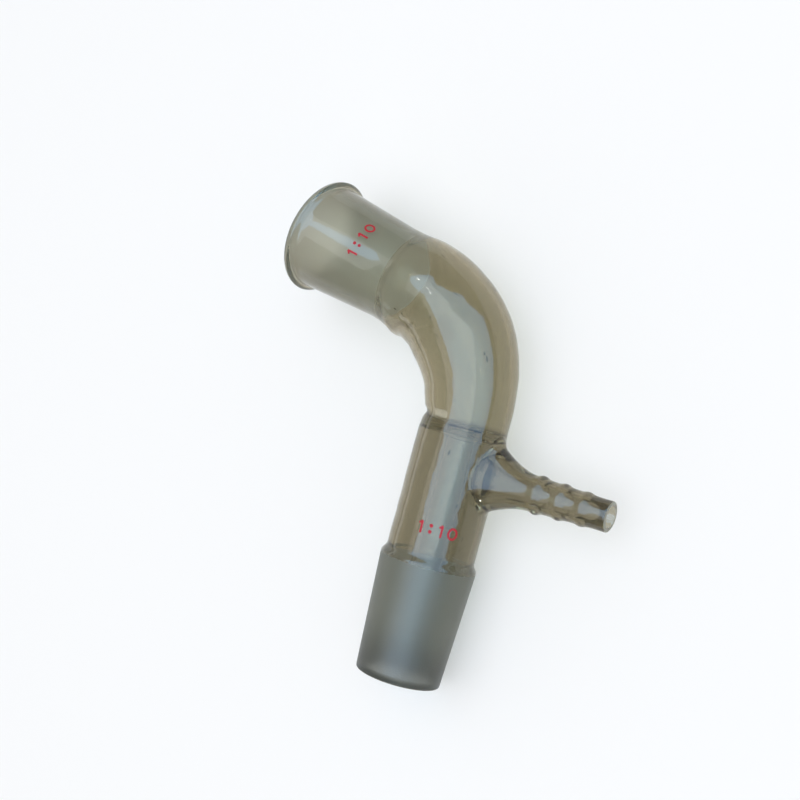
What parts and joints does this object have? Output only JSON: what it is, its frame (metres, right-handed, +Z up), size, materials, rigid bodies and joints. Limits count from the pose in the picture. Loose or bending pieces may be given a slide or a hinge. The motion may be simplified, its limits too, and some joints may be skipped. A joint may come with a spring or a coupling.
{
  "type": "vacuum take off adapter",
  "caption": "Bent glass distillation adapter with a ground socket, a ground cone, an inner drip tube and a ridged vacuum side arm.",
  "frame": {"origin": "on the table under the middle of the part's box, as it lies on its side", "axes": "+Y along the body towards the bend, +X along the side arm, +Z up from the table; the body leans 1 degree and the side arm 2.2 degrees, as the part comes to rest"},
  "size_m": [0.101, 0.1168, 0.0307],
  "materials": {
    "clear_glass": "clear flame-polished borosilicate glass with a faint olive tint and a few seeds",
    "ground_glass": "fine ground glass on the cone's outside and the socket's inside, evenly frosted",
    "red_enamel": "thin fired red enamel numbers"
  },
  "bodies": {
    "root": {"adapter": "clear_glass"}
  },
  "joints": []
}
